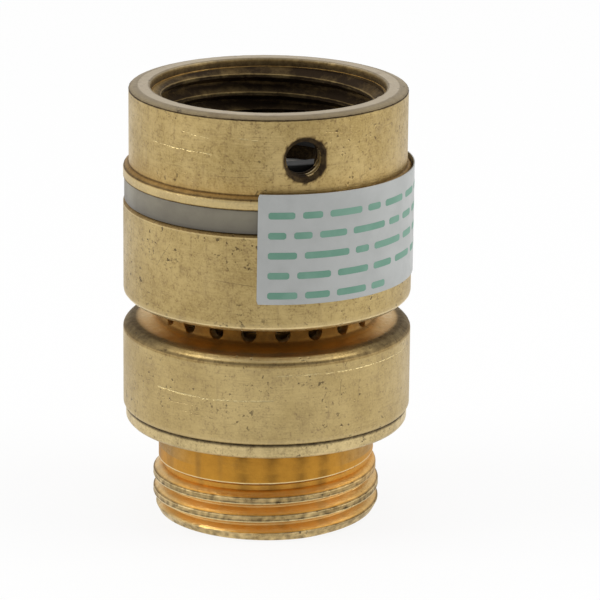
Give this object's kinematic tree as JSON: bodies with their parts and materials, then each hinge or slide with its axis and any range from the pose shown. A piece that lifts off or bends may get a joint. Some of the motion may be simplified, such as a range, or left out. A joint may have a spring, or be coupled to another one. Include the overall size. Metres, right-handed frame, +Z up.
{
  "type": "hose bib vacuum breaker",
  "caption": "Brass hose connection vacuum breaker: female inlet collar, vented waist, grey joint ring, spring checks inside and a male garden hose outlet.",
  "frame": {"origin": "centre of the outlet nipple's end face, on which the part stands", "axes": "+Z up along the flow axis from the hose outlet to the tap inlet; -Y faces the viewer of the picture"},
  "size_m": [0.0342, 0.0342, 0.0516],
  "materials": {
    "collar_brass": "turned, tarnished",
    "body_brass": "turned, tarnished",
    "nipple_brass": "turned, tarnished",
    "grey_plastic": "smooth moulded",
    "label_film": "satin film, bare of print",
    "black_rubber": "matt",
    "white_plastic": "moulded acetal",
    "spring_steel": "drawn stainless wire"
  },
  "bodies": {
    "housing": {"inlet_collar": "collar_brass", "main_body": "body_brass", "outlet_nipple": "nipple_brass", "joint_ring": "grey_plastic", "blank_label": "label_film", "inlet_washer": "black_rubber", "collar_seal": "black_rubber", "nipple_seal": "black_rubber", "second_check_seat": "white_plastic", "vent_spring": "spring_steel", "plunger_spring": "spring_steel"},
    "vent_piston": {"vent_piston": "white_plastic", "piston_seal": "black_rubber", "vent_face_seal": "black_rubber", "first_check_guide": "white_plastic", "first_check_spring": "spring_steel"},
    "first_check": {"first_check_poppet": "white_plastic", "first_check_seal": "black_rubber"},
    "drain_plunger": {"drain_plunger": "white_plastic", "second_check_spring": "spring_steel"},
    "second_check": {"second_check_poppet": "white_plastic", "second_check_seal": "black_rubber"}
  },
  "joints": [
    {"name": "vent_piston_slide", "type": "slide", "parent": "housing", "child": "vent_piston", "axis": [0, 0, 1], "range_m": [-0.0016, 0], "stiffness_N_per_m": 100, "springref_m": 0.006, "deforming": ["vent_spring"]},
    {"name": "first_check_slide", "type": "slide", "parent": "vent_piston", "child": "first_check", "axis": [0, 0, 1], "range_m": [-0.0022, 0], "stiffness_N_per_m": 60, "springref_m": 0.004, "deforming": ["first_check_spring"]},
    {"name": "drain_plunger_slide", "type": "slide", "parent": "housing", "child": "drain_plunger", "axis": [0, 0, 1], "range_m": [0, 0.0025], "stiffness_N_per_m": 100, "springref_m": -0.006, "deforming": ["plunger_spring"]},
    {"name": "second_check_slide", "type": "slide", "parent": "drain_plunger", "child": "second_check", "axis": [0, 0, 1], "range_m": [-0.002, 0], "stiffness_N_per_m": 60, "springref_m": 0.004, "deforming": ["second_check_spring"]}
  ]
}
